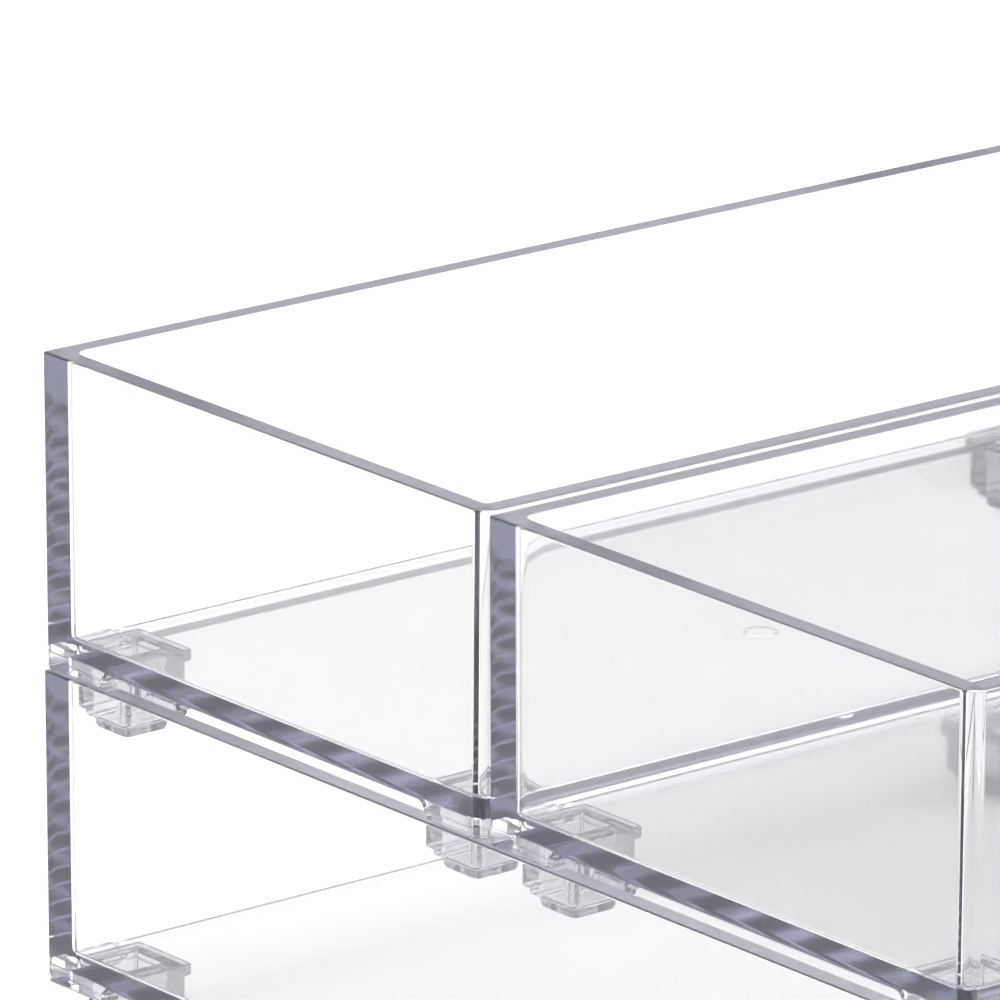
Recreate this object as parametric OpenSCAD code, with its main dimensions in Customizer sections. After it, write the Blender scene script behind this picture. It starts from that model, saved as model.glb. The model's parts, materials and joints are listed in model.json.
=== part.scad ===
// Stackable clear desk organizer: two narrow trays side by side on one double-width tray.
// X runs along the front, Y runs front to back, Z is up. The feet stand on z = 0.

/* [Trays] */
// Width of one narrow tray at its rim
tray_w = 80; // [60:1:120]
// Depth of every tray, front to back
tray_d = 150; // [100:1:240]
// Height of a tray from its shoulders to its rim
tray_h = 38.4; // [25:0.2:70]
// Gap between the two narrow trays
tray_gap = 1; // [0.6:0.1:3]

/* [Walls] */
// Thickness of the walls
wall_t = 2.5; // [1.6:0.1:3.2]
// Thickness of the base plate
base_t = 2.1; // [1.6:0.1:3]
// How far each wall leans in from rim to shoulders
draft = 0.3; // [0.1:0.05:0.6]
// Radius of the upright corners on the right of each tray, outside
round_r = 1.5; // [1:0.1:3]
// Radius of the upright corners on the left of each tray, outside
crisp_r = 0.2; // [0.1:0.1:0.8]
// Radius of the upright corners on the right of each tray, inside
inner_crisp_r = 0.7; // [0.4:0.1:3]
// Radius of the upright corners on the left of each tray, inside
inner_round_r = 2; // [0.4:0.1:3]
// Size of the fillet between the inside of the walls and the base
floor_r = 0.8; // [0.5:0.1:2]
// Size of the eased edge along the outside of the rim
rim_edge = 0.3; // [0.2:0.1:0.6]
// Size of the eased edge along the bottom of the walls
bottom_edge = 0.5; // [0.3:0.1:0.8]

/* [Underside] */
// Height of the arches between the corner shoulders
arch_h = 2; // [1.2:0.1:3]
// Length of a shoulder, from the tray's corner to the arch
shoulder_l = 10.4; // [8:0.2:16]
// Diameter of the moulding gate's mark under the base
gate_d = 4; // [2:0.5:6]
// Depth of the gate's mark
gate_depth = 0.2; // [0.1:0.1:0.6]
// How far the gate's mark lies to the right of the middle of the base
gate_x = 6.5; // [-15:0.5:15]
// How far the gate's mark lies behind the middle of the base
gate_y = -6.5; // [-30:0.5:30]

/* [Feet] */
// Width of the flange that is bonded under the base
flange_w = 10.2; // [9.6:0.1:11]
// Thickness of the flange
flange_t = 1.5; // [1:0.1:1.8]
// Width of the foot's upper section
foot_w = 9.1; // [8:0.1:9.4]
// Width of the step between the upper section and the toe
step_w = 7.9; // [7.5:0.1:8]
// Width of the toe
toe_w = 6.4; // [6:0.1:7]
// Width of the hollow inside the foot
hollow_w = 5.2; // [4:0.1:5.6]
// How far the foot reaches below the shoulders
foot_drop = 6.4; // [5.5:0.1:8]
// Height of the toe
toe_h = 1.5; // [1.2:0.1:1.8]
// Height of the step
step_h = 0.9; // [0.6:0.1:1.2]
// Thickness of the floor of the hollow
hollow_floor = 1.4; // [1:0.1:2]
// Radius of the foot's upright corners
foot_r = 0.5; // [0.3:0.1:0.8]
// Gap between the flange and the inside of the shoulders
flange_gap = 0.1; // [0.05:0.05:0.3]

/* [Hidden] */

$fn = 48;
// Overshoot of every cutting solid past the face it cuts
past = 1;
tray_colour = [0.80, 0.81, 0.90, 0.45];
foot_colour = [0.72, 0.73, 0.76, 0.6];
// Width of the lower tray, as wide as the two narrow trays and their gap
lower_w = 2 * tray_w + tray_gap;
// Shoulder heights of the two tiers
lower_z = foot_drop;
upper_z = lower_z + tray_h;
// Centres of the two narrow trays
upper_left_x = -(tray_w + tray_gap) / 2;
upper_right_x = (tray_w + tray_gap) / 2;
// Distance from a tray's outer face to the centre of its feet
foot_inset = wall_t + draft + flange_gap + flange_w / 2;

// Right half of a rectangle with round corners, made of squares and circles
module rounded_half(w, d, r) {
    translate([0, -d / 2]) square([w / 2 - r, d]);
    translate([0, r - d / 2]) square([w / 2, d - 2 * r]);
    for (end = [-1, 1])
        translate([w / 2 - r, end * (d / 2 - r)]) circle(r);
}

// Rectangle with round corners of one radius on the left and another on the right
module rounded_rect(w, d, left_r, right_r) {
    rounded_half(w, d, right_r);
    mirror([1, 0, 0]) rounded_half(w, d, left_r);
}

// Upright section of a block: it leans in by lean, with eased corners at the top and bottom
module lean_section(w, h, lean, top, bottom) {
    polygon([
        [-w / 2 + lean + bottom, 0], [w / 2 - lean - bottom, 0], [w / 2 - lean, bottom],
        [w / 2, h - top], [w / 2 - top, h], [-w / 2 + top, h],
        [-w / 2, h - top], [-w / 2 + lean, bottom]
    ]);
}

// Block that leans in on all four sides and has round upright corners
module lean_block(w, d, h, lean, left_r, right_r, top, bottom) {
    intersection() {
        rotate([90, 0, 0])
            linear_extrude(d + 2 * past, center = true)
                lean_section(w, h, lean, top, bottom);
        rotate([90, 0, 90])
            linear_extrude(w + 2 * past, center = true)
                lean_section(d, h, lean, top, bottom);
        linear_extrude(h) rounded_rect(w, d, left_r, right_r);
    }
}

// Half-stadium section of an arch of the given length, with round ends
module arch_section(length) {
    translate([-length / 2 + arch_h, 0]) square([length - 2 * arch_h, arch_h]);
    for (x = [-1, 1])
        translate([x * (length / 2 - arch_h), 0]) circle(arch_h);
}

// Open tray of width w that stands on its corner shoulders at z = 0
module tray(w) {
    floor_z = arch_h + base_t;
    inner_w = w - 2 * wall_t;
    inner_d = tray_d - 2 * wall_t;
    recess_w = inner_w - 2 * draft;
    recess_d = inner_d - 2 * draft;
    difference() {
        lean_block(w, tray_d, tray_h, draft, crisp_r, round_r, rim_edge, bottom_edge);
        translate([0, 0, floor_z])
            lean_block(inner_w, inner_d, tray_h - floor_z + past, draft,
                inner_round_r, inner_crisp_r, past / 2, floor_r);
        translate([0, 0, -past])
            linear_extrude(arch_h + past) rounded_rect(recess_w, recess_d, foot_r, foot_r);
        rotate([90, 0, 0])
            linear_extrude(tray_d + 2 * past, center = true) arch_section(w - 2 * shoulder_l);
        rotate([90, 0, 90])
            linear_extrude(w + 2 * past, center = true) arch_section(tray_d - 2 * shoulder_l);
        translate([gate_x, gate_y, 0]) cylinder(h = arch_h + gate_depth, d = gate_d);
    }
}

// Hollow stepped foot; z = 0 is the shoulder plane of the tray that it is bonded under
module foot() {
    step_z = -foot_drop + toe_h;
    upper_section_z = step_z + step_h;
    flange_z = arch_h - flange_t;
    difference() {
        union() {
            translate([0, 0, flange_z])
                linear_extrude(flange_t) rounded_rect(flange_w, flange_w, foot_r, foot_r);
            translate([0, 0, upper_section_z])
                linear_extrude(flange_z - upper_section_z) rounded_rect(foot_w, foot_w, foot_r, foot_r);
            translate([0, 0, step_z])
                linear_extrude(step_h) rounded_rect(step_w, step_w, foot_r, foot_r);
            translate([0, 0, -foot_drop])
                lean_block(toe_w, toe_w, toe_h + step_h, foot_r / 4, foot_r, foot_r, foot_r / 4, foot_r);
        }
        translate([0, 0, -foot_drop + hollow_floor])
            linear_extrude(foot_drop + arch_h) rounded_rect(hollow_w, hollow_w, foot_r, foot_r);
    }
}

// Foot under one corner of a tray of width w; side is -1 left or 1 right, end is -1 front or 1 back
module corner_foot(w, side, end) {
    translate([side * (w / 2 - foot_inset), end * (tray_d / 2 - foot_inset), 0]) foot();
}

// Places its children at one of the three tray positions
module at_lower() { translate([0, 0, lower_z]) children(); }
module at_upper_left() { translate([upper_left_x, 0, upper_z]) children(); }
module at_upper_right() { translate([upper_right_x, 0, upper_z]) children(); }

module lower_tray() { color(tray_colour) at_lower() tray(lower_w); }
module lower_foot_front_left() { color(foot_colour) at_lower() corner_foot(lower_w, -1, -1); }
module lower_foot_front_right() { color(foot_colour) at_lower() corner_foot(lower_w, 1, -1); }
module lower_foot_back_left() { color(foot_colour) at_lower() corner_foot(lower_w, -1, 1); }
module lower_foot_back_right() { color(foot_colour) at_lower() corner_foot(lower_w, 1, 1); }

module upper_left_tray() { color(tray_colour) at_upper_left() tray(tray_w); }
module upper_left_foot_front_left() { color(foot_colour) at_upper_left() corner_foot(tray_w, -1, -1); }
module upper_left_foot_front_right() { color(foot_colour) at_upper_left() corner_foot(tray_w, 1, -1); }
module upper_left_foot_back_left() { color(foot_colour) at_upper_left() corner_foot(tray_w, -1, 1); }
module upper_left_foot_back_right() { color(foot_colour) at_upper_left() corner_foot(tray_w, 1, 1); }

module upper_right_tray() { color(tray_colour) at_upper_right() tray(tray_w); }
module upper_right_foot_front_left() { color(foot_colour) at_upper_right() corner_foot(tray_w, -1, -1); }
module upper_right_foot_front_right() { color(foot_colour) at_upper_right() corner_foot(tray_w, 1, -1); }
module upper_right_foot_back_left() { color(foot_colour) at_upper_right() corner_foot(tray_w, -1, 1); }
module upper_right_foot_back_right() { color(foot_colour) at_upper_right() corner_foot(tray_w, 1, 1); }

lower_tray();
lower_foot_front_left();
lower_foot_front_right();
lower_foot_back_left();
lower_foot_back_right();
upper_left_tray();
upper_left_foot_front_left();
upper_left_foot_front_right();
upper_left_foot_back_left();
upper_left_foot_back_right();
upper_right_tray();
upper_right_foot_front_left();
upper_right_foot_front_right();
upper_right_foot_back_left();
upper_right_foot_back_right();
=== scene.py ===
import json
import math

import bmesh
import bpy
from mathutils import Matrix, Vector


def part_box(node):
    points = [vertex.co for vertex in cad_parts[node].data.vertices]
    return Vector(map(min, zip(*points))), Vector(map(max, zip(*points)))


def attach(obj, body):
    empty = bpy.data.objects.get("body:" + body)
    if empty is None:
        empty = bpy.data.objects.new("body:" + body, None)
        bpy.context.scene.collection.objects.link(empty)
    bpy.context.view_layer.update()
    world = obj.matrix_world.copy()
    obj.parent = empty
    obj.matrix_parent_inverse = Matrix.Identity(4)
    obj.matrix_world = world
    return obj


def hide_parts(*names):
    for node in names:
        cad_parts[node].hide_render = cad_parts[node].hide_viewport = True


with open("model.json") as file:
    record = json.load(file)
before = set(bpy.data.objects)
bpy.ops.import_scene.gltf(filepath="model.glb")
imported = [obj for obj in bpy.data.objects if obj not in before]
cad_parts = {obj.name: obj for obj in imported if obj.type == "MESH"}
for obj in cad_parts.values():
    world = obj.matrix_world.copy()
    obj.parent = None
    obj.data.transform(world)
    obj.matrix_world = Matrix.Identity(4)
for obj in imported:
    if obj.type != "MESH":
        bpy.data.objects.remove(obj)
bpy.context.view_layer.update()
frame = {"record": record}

MM = 0.001

# Trays, with the sizes of the CAD source
WALL = 2.5 * MM
BASE = 2.1 * MM
DRAFT = 0.3 * MM
FLOOR_R = 0.8 * MM
RECESS_R = 0.5 * MM
SKIRT_R = 0.5 * MM
RIM_R = 0.3 * MM
ARCH = 2.0 * MM
SHOULDER = 10.4 * MM
GATE_R = 2.0 * MM
GATE_DEPTH = 0.2 * MM
GATE_PLACE = (6.5 * MM, -6.5 * MM)

# Softer shapes than the CAD's: the upright corners are superellipses, given as left and right
CORNER_R = (0.2 * MM, 1.7 * MM)
CORNER_POWER = (2.0, 1.5)
INNER_R = (4.5 * MM, 0.7 * MM)
INNER_POWER = (6.0, 2.2)
CIRCLE = (2.0, 2.0)
# Least radius of a corner that an eased edge runs round, outside and inside
CORNER_LEAST = 0.08 * MM
INNER_LEAST = 0.1 * MM
# Radius along the inner edge of the rim
RIM_INNER_R = 0.12 * MM
# Radius where an arch leaves its shoulder
ARCH_FOOT_R = 0.5 * MM
# How far the last station of an arch lies from the tray's corner, and from the shoulder's end
ARCH_REACH = 8.0 * MM
# Width of the gate's mark at its floor, as a share of its width at the mouth
GATE_TAPER = 0.9

# Feet, with the sizes of the CAD source
FLANGE_T = 1.5 * MM
FOOT_HALF = 4.55 * MM
STEP_HALF = 3.95 * MM
TOE_HALF = 3.2 * MM
HOLLOW_HALF = 2.6 * MM
HOLLOW_FLOOR = 1.4 * MM
TOE_H = 1.5 * MM
STEP_H = 0.9 * MM
# Finer than the CAD's: radius of the upright corners, and of those round the flange's faces, and
# the easing of the edges
FOOT_R = 0.6 * MM
FLANGE_R = 0.5 * MM
FOOT_EASE = 0.18 * MM
# Points of the rounded ends of the hollow and of the toe: how far in from the side, how far up
# and the radius of the corners there, all in mm
HOLLOW_END = ((0.3, 0.0, 0.3), (0.1, 0.1, 0.5), (0.0, 0.3, 0.6))
TOE_END = ((0.05, 0.6, 0.7), (0.22, 0.18, 0.7), (0.6, 0.0, 0.6))

# Air left between two clear solids that touch, so that each keeps its own surface
AIR = 0.04 * MM

# Steps in each kind of curve
CORNER_STEPS = 12
FOOT_CORNER_STEPS = 6
ARCH_STEPS = 8
EDGE_STEPS = 4
RIM_INNER_STEPS = 3
FLOOR_STEPS = 6
GATE_STEPS = 40

# Vertices nearer than this are merged, and a sine or cosine below NOTHING counts as zero
MERGE = 0.002 * MM
NOTHING = 1e-9
# Edges that bend more than this stay sharp
SHARP_ANGLE = math.radians(32)
FULL_WEIGHT = 100

# Plastic: its refraction, and the cells per metre of the flow waves along each axis and of the
# fine marks
PLASTIC_IOR = 1.585
FLOW_SCALE = (55.0, 55.0, 140.0)
FINE_SCALE = 900.0
# The range of the fine noise that roughens the surface, and how many times rougher it gets
FINE_RANGE = (0.35, 0.7)
HAZE_GAIN = 2.5
# The share of the colour that is left where the flow noise is highest
TINT_CHANGE = 0.985
# Roughness that a rim's satin polish adds
RIM_ROUGHNESS = 0.3

# Floor of plain paper: half its width, its cells along each side, and the paper's look
FLOOR_HALF = 6.0
FLOOR_CELLS = 8
PAPER_GRAIN = 60.0
PAPER_TONES = (0.88, 0.90)
PAPER_ROUGHNESS = 0.9

# Studio light: its strength at the sides and overhead, and the heights between which it rises
SIDE_LIGHT = 0.36
CEILING_LIGHT = 2.3
CEILING_RISE = (0.45, 0.8)

# Camera: the direction it looks from, its lens and its distance from the upper left tray
VIEW_AZIMUTH = 50.61
VIEW_ELEVATION = 17.05
VIEW_ROLL = 0.466
LENS = 425.6
SENSOR = 36.0
CLIP = (0.05, 50.0)
DISTANCE = 1.4116
# The point it looks at, from the left front corner of the upper left tray's rim
TARGET = Vector((-3.28, 70.75, -32.0)) * MM

# Light paths: many, because a ray crosses the trays' walls again and again
CLEAR_BOUNCES = 72
DIFFUSE_BOUNCES = 4
TRANSPARENT_BOUNCES = 16


# ---------------------------------------------------------------- outlines
def quarter(radius, steps):
    """Offsets along a rounded edge, from (radius, 0) round to (0, radius)."""
    angles = [math.pi / 2 * i / steps for i in range(steps + 1)]
    return [(radius * (1 - math.sin(a)), radius * (1 - math.cos(a))) for a in angles]


def ring(half_w, half_d, radii, along_x, along_y, count, powers=CIRCLE):
    """Round-cornered outline, counterclockwise, with stations along its straight sides.

    radii and powers are those of the left and the right corners, which are superellipses.
    Each item is x, y and the way out of the outline there, as -1, 0 or 1 along each axis.
    """
    def bend(value, power):
        return math.copysign(abs(value) ** (2 / power), value) if abs(value) > NOTHING else 0.0

    def corner(side, end, start):
        radius, power = (radii[0], powers[0]) if side < 0 else (radii[1], powers[1])
        x, y = side * (half_w - radius), end * (half_d - radius)
        points = []
        for i in range(count + 1):
            a = math.radians(start + 90.0 * i / count)
            points.append((x + radius * bend(math.cos(a), power),
                           y + radius * bend(math.sin(a), power), side, end))
        return points

    points = [(s, -half_d, 0, -1) for s in along_x] + corner(1, -1, -90)
    points += [(half_w, s, 1, 0) for s in along_y] + corner(1, 1, 0)
    points += [(s, half_d, 0, 1) for s in reversed(along_x)] + corner(-1, 1, 90)
    points += [(-half_w, s, -1, 0) for s in reversed(along_y)] + corner(-1, -1, 180)
    return points


def arch_stations(half):
    """Stations along one side of a tray with the height of its bottom edge at each."""
    toe = half - SHOULDER
    side = [(half - ARCH_REACH, 0.0)]
    side += [(toe + across, up) for across, up in quarter(ARCH_FOOT_R, ARCH_STEPS)]
    side += [(toe - across, ARCH - down) for down, across in quarter(ARCH - ARCH_FOOT_R, ARCH_STEPS)[1:]]
    side.append((toe - ARCH_REACH, ARCH))
    left = [(-x, z) for x, z in side]
    return left + [(0.0, ARCH)] + side[::-1]


# ---------------------------------------------------------------- meshes
def neighbours(items):
    """Each item of a closed loop with the next one."""
    return zip(items, items[1:] + items[:1])


def bridge(bm, low, high):
    """Faces between two loops of equal length."""
    for (a, b), (c, d) in zip(neighbours(low), neighbours(high)):
        bm.faces.new((a, b, d, c))


def cap_with_pocket(bm, row, place, radius, depth):
    """Flat cap on a loop, with a round pocket let into it from below."""
    def circle(scale, z):
        angles = [2 * math.pi * i / GATE_STEPS for i in range(GATE_STEPS)]
        return [bm.verts.new((place[0] + scale * radius * math.cos(a),
                              place[1] + scale * radius * math.sin(a), z)) for a in angles]

    z = row[0].co.z
    mouth, inside = circle(1.0, z), circle(GATE_TAPER, z + depth)
    loops = [bm.edges.get(pair) for pair in neighbours(row)]
    loops += [bm.edges.new(pair) for pair in neighbours(mouth)]
    bmesh.ops.triangle_fill(bm, use_beauty=True, edges=loops)
    bridge(bm, mouth, inside)
    bm.faces.new(inside)


def add_object(name, bm):
    """Object with the finished mesh, linked into the scene."""
    mesh = bpy.data.meshes.new(name)
    bm.to_mesh(mesh)
    bm.free()
    obj = bpy.data.objects.new(name, mesh)
    bpy.context.scene.collection.objects.link(obj)
    return obj


def loft(name, rings, pocket=None):
    """Closed mesh through rings of equal length, capped at both ends.

    pocket is the place, radius and depth of a round pocket in the first cap.
    """
    bm = bmesh.new()
    rows = [[bm.verts.new(p) for p in points] for points in rings]
    for low, high in zip(rows, rows[1:]):
        bridge(bm, low, high)
    if pocket:
        cap_with_pocket(bm, rows[0][::-1], *pocket)
    else:
        bm.faces.new(rows[0][::-1])
    bm.faces.new(rows[-1])
    bmesh.ops.remove_doubles(bm, verts=bm.verts, dist=MERGE)
    bmesh.ops.dissolve_degenerate(bm, edges=bm.edges, dist=MERGE)
    bmesh.ops.recalc_face_normals(bm, faces=bm.faces)
    for face in bm.faces:
        face.smooth = True
    for edge in bm.edges:
        if len(edge.link_faces) == 2:
            edge.smooth = edge.calc_face_angle(0.0) < SHARP_ANGLE
    obj = add_object(name, bm)
    even = obj.modifiers.new("even_normals", "WEIGHTED_NORMAL")
    even.mode = "FACE_AREA"
    even.weight = FULL_WEIGHT
    even.keep_sharp = True
    return obj


def put_in_box(obj, low, high):
    """Moves a mesh that was made round the z axis to the middle of its box's bottom."""
    centre = Vector(((low.x + high.x) / 2, (low.y + high.y) / 2, low.z))
    obj.data.transform(Matrix.Translation(centre))


def tray(name, node):
    """Open tray with drafted walls, rounded edges and an arched skirt round its base."""
    low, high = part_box(node)
    half_w, half_d = (high.x - low.x) / 2, (high.y - low.y) / 2
    height = high.z - low.z
    floor = ARCH + BASE
    front, side = arch_stations(half_w), arch_stations(half_d)
    along_x, along_y = [x for x, z in front], [y for y, z in side]
    # Height of the bottom edge at every point of a ring: two like halves, flat at the corners
    flat = [0.0] * (CORNER_STEPS + 1)
    half_edge = [z for x, z in front] + flat + [z for y, z in side] + flat
    bottom = [max(z, AIR) for z in half_edge * 2]

    def row(inset, radii, heights, powers=CIRCLE):
        """Ring set in from the outer wall, which leans in towards the bottom."""
        points = []
        outline = ring(half_w - inset, half_d - inset, radii, along_x, along_y, CORNER_STEPS, powers)
        for (x, y, out_x, out_y), z in zip(outline, heights):
            lean = DRAFT * (1 - z / height)
            points.append((x - out_x * lean, y - out_y * lean, z))
        return points

    def level(z):
        return [z] * len(bottom)

    def raised(dz):
        return [z + dz for z in bottom]

    def outer(inset, heights):
        """Ring of the outside, set in from the walls' outer faces."""
        radii = [max(r - inset, CORNER_LEAST) for r in CORNER_R]
        return row(inset, radii, heights, CORNER_POWER)

    def inner(inset, heights):
        """Ring of the inside, set in from the walls' inner faces."""
        radii = [max(r - inset, INNER_LEAST) for r in INNER_R]
        return row(WALL + inset, radii, heights, INNER_POWER)

    recess_r = (RECESS_R, RECESS_R)
    rings = [row(WALL, recess_r, level(ARCH)), row(WALL, recess_r, bottom)]
    rings += [outer(across, raised(up)) for across, up in quarter(SKIRT_R, EDGE_STEPS)]
    rings.append(outer(0, level(ARCH + 2 * SKIRT_R)))
    rings += [outer(across, level(height - down)) for down, across in quarter(RIM_R, EDGE_STEPS)]
    rings += [inner(-across, level(height - down)) for across, down in quarter(RIM_INNER_R, RIM_INNER_STEPS)]
    rings += [inner(across, level(floor + up)) for up, across in quarter(FLOOR_R, FLOOR_STEPS)]
    obj = loft(name, rings, pocket=(GATE_PLACE, GATE_R, GATE_DEPTH))
    put_in_box(obj, low, high)
    return obj


def foot(name, node):
    """Hollow stepped foot with a flange, soft edges and a closed toe."""
    low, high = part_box(node)
    flange_half = (high.x - low.x) / 2
    top = high.z - low.z - AIR
    flange_z = high.z - low.z - FLANGE_T
    step_z = TOE_H
    body_z = TOE_H + STEP_H
    # Section from the hollow's floor, over the top and down to the toe: half width, height,
    # corner radius
    section = [(HOLLOW_HALF - inwards * MM, HOLLOW_FLOOR + up * MM, r * MM) for inwards, up, r in HOLLOW_END]
    section += [
        (HOLLOW_HALF, top - FOOT_EASE, FOOT_R), (HOLLOW_HALF + FOOT_EASE, top, FOOT_R),
        (flange_half - FOOT_EASE, top, FLANGE_R), (flange_half, top - FOOT_EASE, FOOT_R),
    ]
    # Each ledge: the half width above it, the half width below it, its height, corner radius
    ledges = (
        (flange_half, FOOT_HALF, flange_z, FLANGE_R),
        (FOOT_HALF, STEP_HALF, body_z, FOOT_R),
        (STEP_HALF, TOE_HALF, step_z, FOOT_R),
    )
    for above, below, z, radius in ledges:
        section += [(above, z + FOOT_EASE, FOOT_R), (above - FOOT_EASE, z, radius), (below, z, radius)]
    section += [(TOE_HALF - inwards * MM, up * MM, r * MM) for inwards, up, r in TOE_END]
    rings = []
    for half, z, radius in section:
        outline = ring(half, half, (radius, radius), (), (), FOOT_CORNER_STEPS)
        rings.append([(x, y, z) for x, y, out_x, out_y in outline])
    obj = loft(name, rings)
    put_in_box(obj, low, high)
    return obj


# ---------------------------------------------------------------- materials
def add_node(tree, kind, values=None, **settings):
    """Shader node with its settings and the constant values of its sockets."""
    node = tree.nodes.new(kind)
    for name, value in settings.items():
        setattr(node, name, value)
    for socket, value in (values or {}).items():
        node.inputs[socket].default_value = value
    return node


def new_material(name):
    """Material with an empty node tree."""
    material = bpy.data.materials.new(name)
    material.use_nodes = True
    material.node_tree.nodes.clear()
    return material, material.node_tree


def satin_rims(tree, place, rims, roughness):
    """Roughness raised on the faces within half RIM_R of a rim's height, for a satin polish."""
    link = tree.links.new
    height = add_node(tree, "ShaderNodeSeparateXYZ")
    link(place.outputs["Object"], height.inputs["Vector"])
    for rim in rims:
        near = add_node(tree, "ShaderNodeMath", {1: rim, 2: RIM_R / 2}, operation="COMPARE")
        lift = add_node(tree, "ShaderNodeMath", {1: RIM_ROUGHNESS}, operation="MULTIPLY_ADD")
        link(height.outputs["Z"], near.inputs[0])
        link(near.outputs["Value"], lift.inputs[0])
        link(roughness, lift.inputs[2])
        roughness = lift.outputs["Value"]
    return roughness


def clear_plastic(name, colour, absorb, density, wave_height, roughness, rims=()):
    """Clear moulded plastic: flow waves and fine marks in the surface, tint in the depth."""
    material, tree = new_material(name)
    link = tree.links.new
    place = add_node(tree, "ShaderNodeTexCoord")

    stretch = add_node(tree, "ShaderNodeMapping", {"Scale": FLOW_SCALE})
    flow = add_node(tree, "ShaderNodeTexNoise", {"Scale": 1.0, "Detail": 1.0})
    waves = add_node(tree, "ShaderNodeBump", {"Strength": 1.0, "Distance": wave_height})
    link(place.outputs["Object"], stretch.inputs["Vector"])
    link(stretch.outputs["Vector"], flow.inputs["Vector"])
    link(flow.outputs["Fac"], waves.inputs["Height"])

    fine = add_node(tree, "ShaderNodeTexNoise", {"Scale": FINE_SCALE, "Detail": 1.0})
    haze = add_node(tree, "ShaderNodeMapRange", {
        "From Min": FINE_RANGE[0], "From Max": FINE_RANGE[1],
        "To Min": roughness, "To Max": roughness * HAZE_GAIN,
    })
    link(place.outputs["Object"], fine.inputs["Vector"])
    link(fine.outputs["Fac"], haze.inputs["Value"])
    satin = satin_rims(tree, place, rims, haze.outputs["Result"])

    changed = [TINT_CHANGE * c for c in colour]
    tint = add_node(tree, "ShaderNodeMix", {"A": (*colour, 1.0), "B": (*changed, 1.0)}, data_type="RGBA")
    link(flow.outputs["Fac"], tint.inputs["Factor"])

    shader = add_node(tree, "ShaderNodeBsdfPrincipled", {"IOR": PLASTIC_IOR, "Transmission Weight": 1.0})
    link(tint.outputs["Result"], shader.inputs["Base Color"])
    link(satin, shader.inputs["Roughness"])
    link(waves.outputs["Normal"], shader.inputs["Normal"])
    depth = add_node(tree, "ShaderNodeVolumeAbsorption", {"Color": (*absorb, 1.0), "Density": density})
    out = add_node(tree, "ShaderNodeOutputMaterial")
    link(shader.outputs["BSDF"], out.inputs["Surface"])
    link(depth.outputs["Volume"], out.inputs["Volume"])
    return material


def paper_material():
    """Matt pale paper with a faint grain."""
    material, tree = new_material("paper")
    link = tree.links.new
    place = add_node(tree, "ShaderNodeTexCoord")
    grain = add_node(tree, "ShaderNodeTexNoise", {"Scale": PAPER_GRAIN})
    tone = add_node(tree, "ShaderNodeMapRange", {"To Min": PAPER_TONES[0], "To Max": PAPER_TONES[1]})
    shader = add_node(tree, "ShaderNodeBsdfPrincipled", {
        "Roughness": PAPER_ROUGHNESS, "Specular IOR Level": 0.0,
    })
    out = add_node(tree, "ShaderNodeOutputMaterial")
    link(place.outputs["Object"], grain.inputs["Vector"])
    link(grain.outputs["Fac"], tone.inputs["Value"])
    link(tone.outputs["Result"], shader.inputs["Base Color"])
    link(shader.outputs["BSDF"], out.inputs["Surface"])
    return material


# ---------------------------------------------------------------- object
RIMS = [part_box(node)[1].z for node in ("lower_tray", "upper_left_tray")]
TRAY_PLASTIC = clear_plastic(
    "clear_tray", colour=(1.0, 1.0, 1.0), absorb=(0.49, 0.485, 0.60), density=20.0,
    wave_height=0.0018 * MM, roughness=0.013, rims=RIMS)
FOOT_PLASTIC = clear_plastic(
    "clear_foot", colour=(0.97, 0.97, 0.98), absorb=(0.40, 0.42, 0.46), density=165.0,
    wave_height=0.0003 * MM, roughness=0.01)

for body, nodes in frame["record"]["behaviour"]["bodies"].items():
    for node in nodes:
        if node.endswith("_tray"):
            piece = tray("clear_" + node, node)
            piece.data.materials.append(TRAY_PLASTIC)
        else:
            piece = foot("clear_" + node, node)
            piece.data.materials.append(FOOT_PLASTIC)
        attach(piece, body)
        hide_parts(node)


# ---------------------------------------------------------------- stage, light and camera
def make_floor():
    """Plain wide floor for the object to stand on."""
    bm = bmesh.new()
    bmesh.ops.create_grid(bm, x_segments=FLOOR_CELLS, y_segments=FLOOR_CELLS, size=FLOOR_HALF)
    floor = add_object("floor", bm)
    floor.data.materials.append(paper_material())


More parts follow.
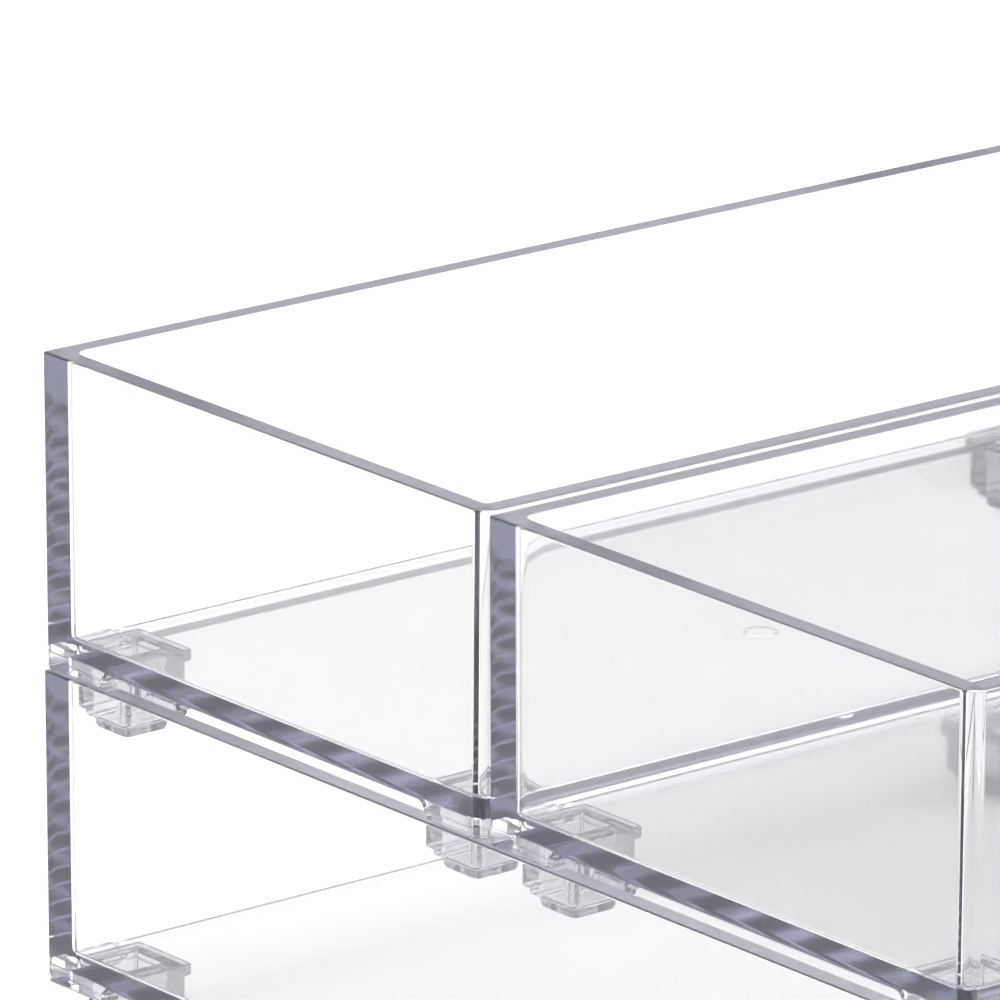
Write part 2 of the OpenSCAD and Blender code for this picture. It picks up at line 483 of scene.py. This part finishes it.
def make_world():
    """Soft studio light: a broad bright ceiling over dimmer surroundings."""
    world = bpy.data.worlds.new("studio")
    world.use_nodes = True
    tree = world.node_tree
    back = tree.nodes["Background"]
    back.inputs["Color"].default_value = (1.0, 1.0, 1.0, 1.0)
    place = add_node(tree, "ShaderNodeTexCoord")
    split = add_node(tree, "ShaderNodeSeparateXYZ")
    rise = add_node(tree, "ShaderNodeMapRange", {
        "From Min": CEILING_RISE[0], "From Max": CEILING_RISE[1],
        "To Min": SIDE_LIGHT, "To Max": CEILING_LIGHT,
    }, interpolation_type="SMOOTHSTEP")
    tree.links.new(place.outputs["Generated"], split.inputs["Vector"])
    tree.links.new(split.outputs["Z"], rise.inputs["Value"])
    tree.links.new(rise.outputs["Result"], back.inputs["Strength"])
    bpy.context.scene.world = world


def make_camera():
    """Camera turned to the target point, then rolled a little about its own axis."""
    data = bpy.data.cameras.new("camera")
    data.lens = LENS
    data.sensor_width = SENSOR
    data.clip_start, data.clip_end = CLIP
    data.dof.use_dof = False
    camera = bpy.data.objects.new("camera", data)
    low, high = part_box("upper_left_tray")
    target = Vector((low.x, low.y, high.z)) + TARGET
    a, e = math.radians(VIEW_AZIMUTH), math.radians(VIEW_ELEVATION)
    back = Vector((math.sin(a) * math.cos(e), -math.cos(a) * math.cos(e), math.sin(e)))
    turn = (-back).to_track_quat("-Z", "Y").to_matrix().to_4x4()
    camera.matrix_world = (Matrix.Translation(target + back * DISTANCE) @ turn
                           @ Matrix.Rotation(math.radians(VIEW_ROLL), 4, "Z"))
    bpy.context.scene.collection.objects.link(camera)
    bpy.context.scene.camera = camera


make_floor()
make_world()
make_camera()

scene = bpy.context.scene
scene.view_settings.view_transform = "Standard"
scene.cycles.max_bounces = CLEAR_BOUNCES
scene.cycles.transmission_bounces = CLEAR_BOUNCES
scene.cycles.glossy_bounces = CLEAR_BOUNCES
scene.cycles.diffuse_bounces = DIFFUSE_BOUNCES
scene.cycles.transparent_max_bounces = TRANSPARENT_BOUNCES
scene.cycles.blur_glossy = 0.0
scene.cycles.use_denoising = True
